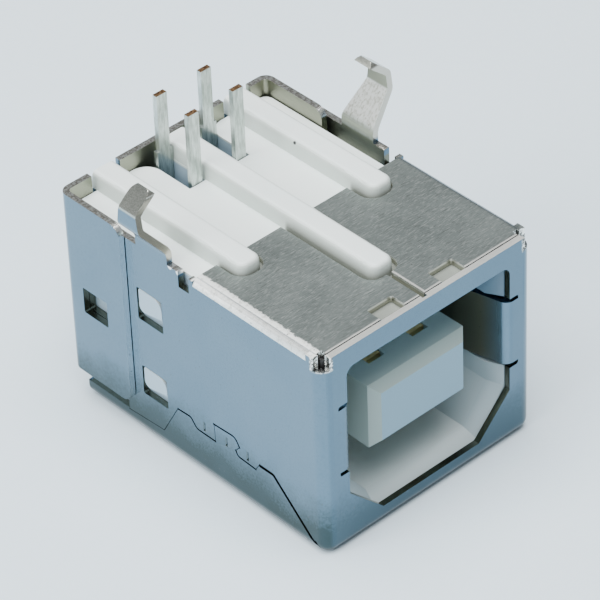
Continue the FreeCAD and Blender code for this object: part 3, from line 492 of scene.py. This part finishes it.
def white_plastic(settings):
    """Cool off-white moulding with painted shade on its upright faces, in the cavity, on the tongue, under
    the flaps and in the front corners, and one dark speck on a rib's side.
    """
    nodes = Nodes("white_plastic")
    at = nodes.where()
    side = abs(at.x)
    clouds = nodes.noise(0.5, 3.0, 0.5, seed=4.0)
    grain = nodes.noise(14.0, 3.0, 0.6, seed=5.0)
    cavity = at.depth.below(CAVITY_END, 0.2) * at.z.below(CAVITY_TOP, 0.2)
    tongue = cavity * side.below(TONGUE_SIDE, 0.2) * at.z.above(TONGUE_FOOT, 0.1)
    board_side = at.z.above(RIB_FOOT - 0.1, 0.05)
    upright = at.nz.below(UPRIGHT_FACE, 0.2)
    over_spring_shade = at.x.above(SPRING_SIDE, 0.05) * at.z.between(SPRING_HIGH - 0.1, RECESS_TOP, 0.1)
    under_flap_shade = board_side * at.depth.below(COVERED_END, 0.08) * at.z.below(FLAP_LEVEL + 0.05, 0.18)
    corner_shade = side.above(CORNER_SIDE, 0.1) * at.depth.below(CORNER_DEPTH, 0.1) * at.z.above(CORNER_FLOOR, 0.1)
    speck = within(SPECK_RADIUS, *zip((at.x, at.depth, at.z), SPECK))
    base = nodes.paint(nodes.mix(clouds, settings.body, BODY_LIGHT), (
        # Painted shade: upright faces are darker than the top faces, the ribs' sides less so.
        (upright * (1 - board_side), settings.side),
        (upright * board_side, RIB_SIDE_SHADE),
        # Painted shade inside the cavity, darker on its upright faces and over the springs.
        (cavity, nodes.mix(upright, settings.cavity, LINING_SIDE_SHADE)),
        (over_spring_shade * at.depth.below(CAVITY_END, 0.2), OVER_SPRING_SHADE),
        # Painted shade on the tongue, darkest on its front.
        (tongue, nodes.mix(at.ny.below(-0.85, 0.05), TONGUE_BEVEL_SHADE, settings.tongue)),
        # Painted shade under the flaps, and black painted shade in the front corners.
        (under_flap_shade, UNDER_FLAP_SHADE),
        (corner_shade, UNDER_CORNER_SHADE),
        (speck, SPECK_DARK),
    ))
    rough = PLASTIC_ROUGH + grain * 0.12
    normal = nodes.bump(grain, 0.01, 0.25)
    return nodes.surface({"IOR": 1.5}, Base_Color=base, Roughness=rough, Normal=normal)


def contact_metal(settings):
    """Worn silver-grey tails with copper ends, gold along the tongue."""
    nodes = Nodes("contact_metal")
    at = nodes.where()
    scratch = nodes.noise(7.0, 4.0, 0.65, UPWARD, seed=2.0)
    grit = nodes.noise(10.0, 3.0, 0.6, seed=8.0)
    end = at.nz.above(0.8, 0.1) * at.z.above(settings.tail_end / MM - 0.1, 0.03)
    base = nodes.paint(nodes.mix(scratch.above(0.50, 0.12), TAIL_DARK, TAIL_LIGHT), (
        (at.depth.below(CAVITY_END, 0.3) * at.z.below(GOLD_TOP, 0.3), GOLD),
        (end, nodes.mix(grit.above(0.5, 0.1), COPPER_DARK, COPPER_LIGHT)),
    ))
    rough = METAL_ROUGH + scratch * 0.2
    normal = nodes.bump(scratch + grit * 0.4, 0.015, 0.5)
    return nodes.surface({"Metallic": 1.0}, Base_Color=base, Roughness=rough, Normal=normal)


def floor_paper():
    """Pale matt paper with a faint grain."""
    nodes = Nodes("floor_paper")
    grain = nodes.noise(2.0, 3.0, 0.6)
    base = nodes.mix(grain, FLOOR_SHADE, FLOOR_LIGHT)
    return nodes.surface(Base_Color=base, Roughness=PAPER_ROUGH + grain * 0.1)


def copy_of(node, name):
    """A merged copy of a CAD node's mesh, its flat faces whole, as a new object at the origin."""
    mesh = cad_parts[node].data.copy()
    mesh.name = name
    work = bmesh.new()
    work.from_mesh(mesh)
    bmesh.ops.remove_doubles(work, verts=work.verts, dist=MERGE)
    bmesh.ops.dissolve_degenerate(work, dist=THINNEST, edges=work.edges)
    bmesh.ops.dissolve_limit(work, angle_limit=FLAT_TURN, verts=work.verts, edges=work.edges)
    work.to_mesh(mesh)
    work.free()
    piece = bpy.data.objects.new(name, mesh)
    bpy.context.scene.collection.objects.link(piece)
    return piece


def apply_modifiers(piece):
    graph = bpy.context.evaluated_depsgraph_get()
    mesh = bpy.data.meshes.new_from_object(piece.evaluated_get(graph))
    piece.modifiers.clear()
    old = piece.data
    piece.data = mesh
    bpy.data.meshes.remove(old)


def rounded(piece, width):
    """Small round edges, which catch the light, between faces that stay flat."""
    piece.data.shade_smooth()
    piece.data.set_sharp_from_angle(angle=SHARP_TURN)
    bevel = piece.modifiers.new("edges", "BEVEL")
    bevel.width = width
    bevel.segments = BEVEL_STEPS
    bevel.limit_method = "ANGLE"
    bevel.angle_limit = SHARP_TURN
    bevel.use_clamp_overlap = True
    bevel.harden_normals = True
    apply_modifiers(piece)


def finish_with(thing, material):
    thing.data.materials.clear()
    thing.data.materials.append(material)


def dress(piece, node, material):
    """Lets the piece stand for its CAD node: gives it the material, hides the node and hangs the piece under
    the root.
    """
    finish_with(piece, material)
    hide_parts(node)
    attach(piece, "root")


def softbox(name, place, size, power, tint):
    """A square soft light that faces the socket."""
    data = bpy.data.lights.new(name, "AREA")
    data.shape = "RECTANGLE"
    data.size, data.size_y = size, size
    data.energy = power
    data.color = tint
    light = bpy.data.objects.new(name, data)
    light.location = place
    light.rotation_euler = (-Vector(place)).to_track_quat("-Z", "Y").to_euler()
    bpy.context.scene.collection.objects.link(light)


class SocketShieldSettings(bpy.types.PropertyGroup):
    """Sizes and colours of the folded shield"""
    edge: FloatProperty(
        name="Edge radius", description="Radius along the sheet's edges",
        default=0.02 * MM, unit="LENGTH")
    grain: FloatProperty(
        name="Grain", description="Height of the brushed grain",
        default=0.014 * MM, unit="LENGTH")
    reflected_shade_top: FloatProperty(
        name="Dark foot", description="Height up to which the walls carry a painted reflection of the floor's shadow",
        default=2.3 * MM, unit="LENGTH")
    wall: FloatVectorProperty(
        name="Walls", description="Colour of the side walls, blue partly from a painted reflection of the floor",
        default=(0.120, 0.190, 0.250), subtype="COLOR")
    lit_ear_edge: FloatVectorProperty(
        name="Ear edge", description="Painted light on the ears' front edge",
        default=(0.90, 0.94, 0.96), subtype="COLOR")
    flap: FloatVectorProperty(
        name="Flaps", description="Colour of the flaps",
        default=(0.205, 0.235, 0.222), subtype="COLOR")


class SocketHousingSettings(bpy.types.PropertyGroup):
    """Sizes and colours of the moulded housing"""
    edge: FloatProperty(
        name="Edge radius", description="Radius along the moulded edges",
        default=0.05 * MM, unit="LENGTH")
    body: FloatVectorProperty(
        name="Body", description="Colour of the moulding",
        default=(0.82, 0.93, 0.92), subtype="COLOR")
    side: FloatVectorProperty(
        name="Sides", description="Painted shade on the upright faces",
        default=(0.36, 0.48, 0.57), subtype="COLOR")
    cavity: FloatVectorProperty(
        name="Cavity", description="Painted shade inside the plug cavity",
        default=(0.46, 0.54, 0.55), subtype="COLOR")
    tongue: FloatVectorProperty(
        name="Tongue", description="Painted shade on the tongue's front",
        default=(0.20, 0.33, 0.42), subtype="COLOR")


class SocketContactSettings(bpy.types.PropertyGroup):
    """Sizes of the four contacts"""
    tail_end: FloatProperty(
        name="Tail end", description="Height of the tails' cut ends",
        default=13.82 * MM, unit="LENGTH")


class SocketStageSettings(bpy.types.PropertyGroup):
    """Strength of the lights"""
    overhead: FloatProperty(
        name="Overhead", description="Power of the overhead softbox",
        default=2.8, unit="POWER")
    window: FloatProperty(
        name="Window", description="Power of the softbox at the left",
        default=1.2, unit="POWER")
    sky: FloatProperty(
        name="Sky", description="Strength of the even light",
        default=0.55)


class SOCKET_OT_shield(bpy.types.Operator):
    """Make the folded shield"""
    bl_idname = "socket.shield"
    bl_label = "Shield"

    def execute(self, context):
        settings = context.scene.socket_shield
        piece = copy_of("shield_shell", "shield")
        rounded(piece, settings.edge)
        dress(piece, "shield_shell", tin_plate(settings))
        return {"FINISHED"}


class SOCKET_OT_housing(bpy.types.Operator):
    """Make the moulded housing"""
    bl_idname = "socket.housing"
    bl_label = "Housing"

    def execute(self, context):
        settings = context.scene.socket_housing
        piece = copy_of("housing", "housing_body")
        rounded(piece, settings.edge)
        dress(piece, "housing", white_plastic(settings))
        return {"FINISHED"}


class SOCKET_OT_contacts(bpy.types.Operator):
    """Finish the four contacts"""
    bl_idname = "socket.contacts"
    bl_label = "Contacts"

    def execute(self, context):
        material = contact_metal(context.scene.socket_contacts)
        for row in ("front", "rear"):
            for side in ("left", "right"):
                finish_with(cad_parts[f"contact_{row}_{side}"], material)
        return {"FINISHED"}


class SOCKET_OT_stage(bpy.types.Operator):
    """Lay the floor and set the lights and the camera"""
    bl_idname = "socket.stage"
    bl_label = "Stage"

    def execute(self, context):
        scene = context.scene
        settings = scene.socket_stage
        corners = [(-1, -1), (1, -1), (1, 1), (-1, 1)]
        mesh = bpy.data.meshes.new("floor")
        mesh.from_pydata([(FLOOR_REACH * x, FLOOR_REACH * y, 0) for x, y in corners], [], [(0, 1, 2, 3)])
        floor = bpy.data.objects.new("floor", mesh)
        scene.collection.objects.link(floor)
        finish_with(floor, floor_paper())

        scene.world = bpy.data.worlds.new("studio")
        scene.world.use_nodes = True
        background = scene.world.node_tree.nodes["Background"]
        background.inputs["Color"].default_value = (*SKY_TINT, 1.0)
        background.inputs["Strength"].default_value = settings.sky
        softbox("overhead", OVERHEAD_AT, OVERHEAD_SIZE, settings.overhead, (1.0, 1.0, 1.0))
        softbox("left_window", WINDOW_AT, WINDOW_SIZE, settings.window, WINDOW_TINT)

        camera_data = bpy.data.cameras.new("camera")
        camera_data.sensor_width = SENSOR
        camera_data.lens = LENS
        camera_data.clip_start, camera_data.clip_end = CLIP
        camera = bpy.data.objects.new("camera", camera_data)
        camera.location = CAMERA_AT
        camera.rotation_euler = CAMERA_TURN
        scene.collection.objects.link(camera)
        scene.camera = camera
        return {"FINISHED"}


class SOCKET_PT_panel(bpy.types.Panel):
    """Lists the pieces of the socket"""
    bl_idname = "SOCKET_PT_panel"
    bl_label = "Type-B socket"
    bl_space_type = "VIEW_3D"
    bl_region_type = "UI"
    bl_category = "Socket"

    def draw(self, context):
        for operator in OPERATORS:
            self.layout.operator(operator.bl_idname)
        for group in POINTERS:
            settings = getattr(context.scene, group)
            for name in settings.bl_rna.properties.keys():
                if name not in {"rna_type", "name"}:
                    self.layout.prop(settings, name)


POINTERS = {
    "socket_shield": SocketShieldSettings,
    "socket_housing": SocketHousingSettings,
    "socket_contacts": SocketContactSettings,
    "socket_stage": SocketStageSettings,
}
OPERATORS = (SOCKET_OT_shield, SOCKET_OT_housing, SOCKET_OT_contacts, SOCKET_OT_stage)
CLASSES = (*POINTERS.values(), *OPERATORS, SOCKET_PT_panel)


def register():
    for item in CLASSES:
        bpy.utils.register_class(item)
    for name, group in POINTERS.items():
        setattr(bpy.types.Scene, name, PointerProperty(type=group))


def unregister():
    for name in POINTERS:
        delattr(bpy.types.Scene, name)
    for item in reversed(CLASSES):
        bpy.utils.unregister_class(item)


def main():
    register()
    bpy.ops.socket.shield()
    bpy.ops.socket.housing()
    bpy.ops.socket.contacts()
    bpy.ops.socket.stage()


if __name__ == "__main__":
    main()
